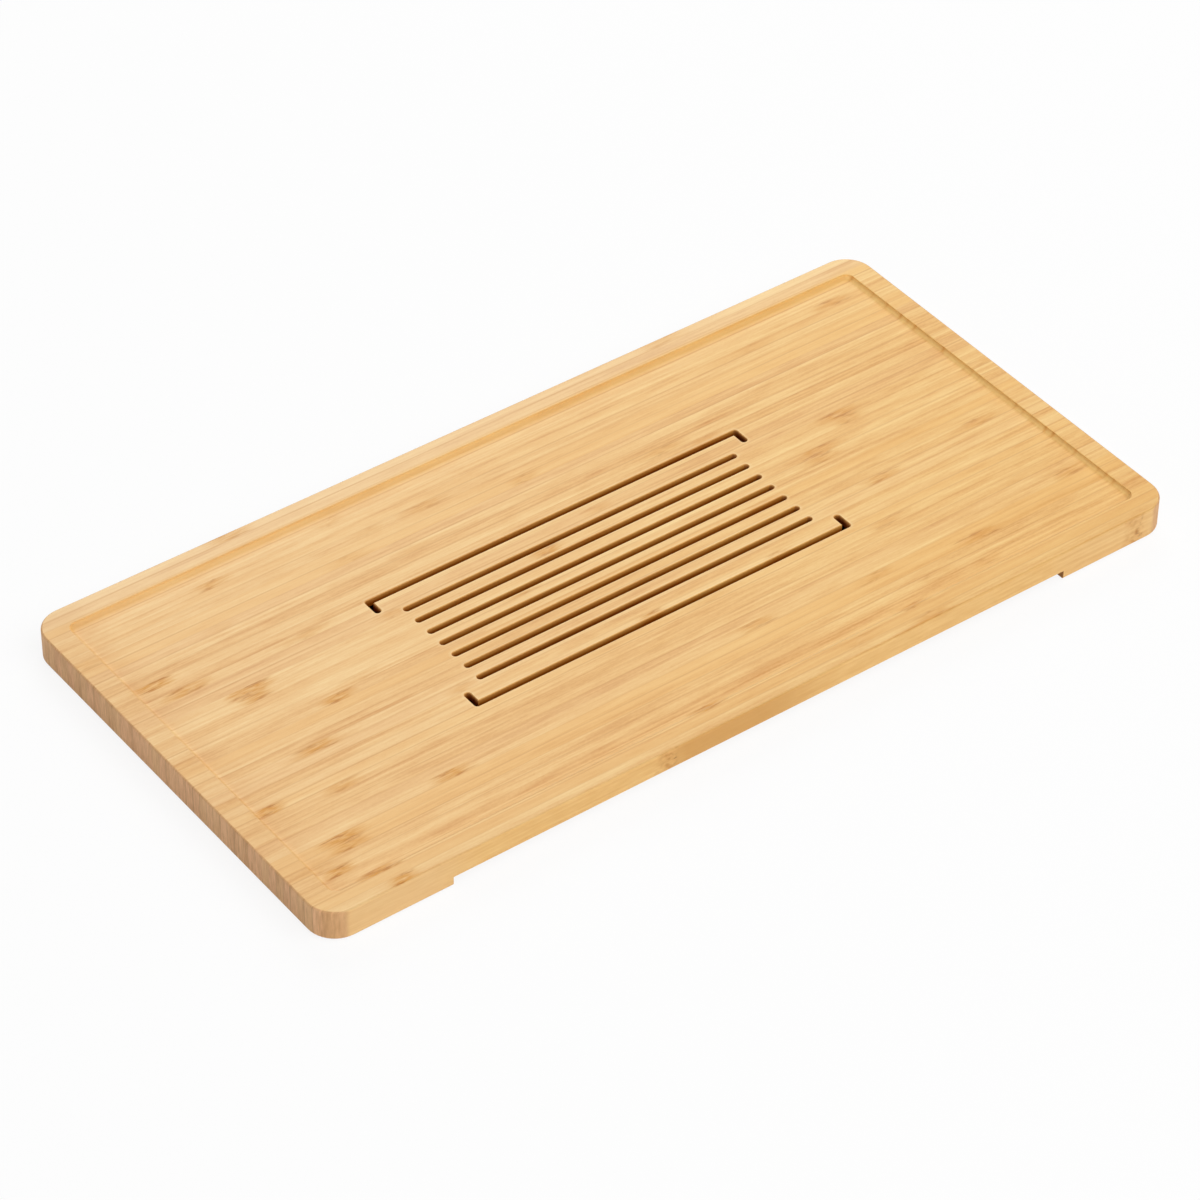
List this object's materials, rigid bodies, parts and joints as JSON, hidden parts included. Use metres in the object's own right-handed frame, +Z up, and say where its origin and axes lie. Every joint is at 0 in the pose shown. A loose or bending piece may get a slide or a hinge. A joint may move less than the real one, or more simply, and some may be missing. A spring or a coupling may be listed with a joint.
{
  "type": "gongfu tea tray",
  "caption": "Flat bamboo tea tray with a shallow coved recess, a slotted drain grille, two end feet and a slide-out water pan with a drain spigot.",
  "frame": {"origin": "middle of the footprint, on the table that the foot pads stand on", "axes": "+X along the board's length, +Y from the front edge to the rear edge where the water pan slides out, +Z up"},
  "size_m": [0.6, 0.3, 0.0215],
  "materials": {
    "bamboo": "oiled, satin, natural side-pressed bamboo",
    "pan_plastic": "fine moulded texture, matte black",
    "screw_steel": "zinc plated",
    "brass": "turned, satin",
    "silicone": "translucent grey, matte"
  },
  "bodies": {
    "tray": {"bamboo_board": "bamboo", "left_runner": "pan_plastic", "right_runner": "pan_plastic", "runner_screws": "screw_steel", "front_left_pad": "silicone", "front_right_pad": "silicone", "rear_left_pad": "silicone", "rear_right_pad": "silicone"},
    "pan": {"water_pan": "pan_plastic", "drain_spigot": "brass", "spigot_gasket": "silicone", "spigot_nut": "brass"},
    "plug": {"drain_plug": "silicone"}
  },
  "joints": [
    {"name": "pan_slide", "type": "slide", "parent": "tray", "child": "pan", "axis": [0, 1, 0], "range_m": [0, 0.22]},
    {"name": "plug_pull", "type": "slide", "parent": "pan", "child": "plug", "axis": [0, 1, 0], "range_m": [0, 0.02]}
  ]
}
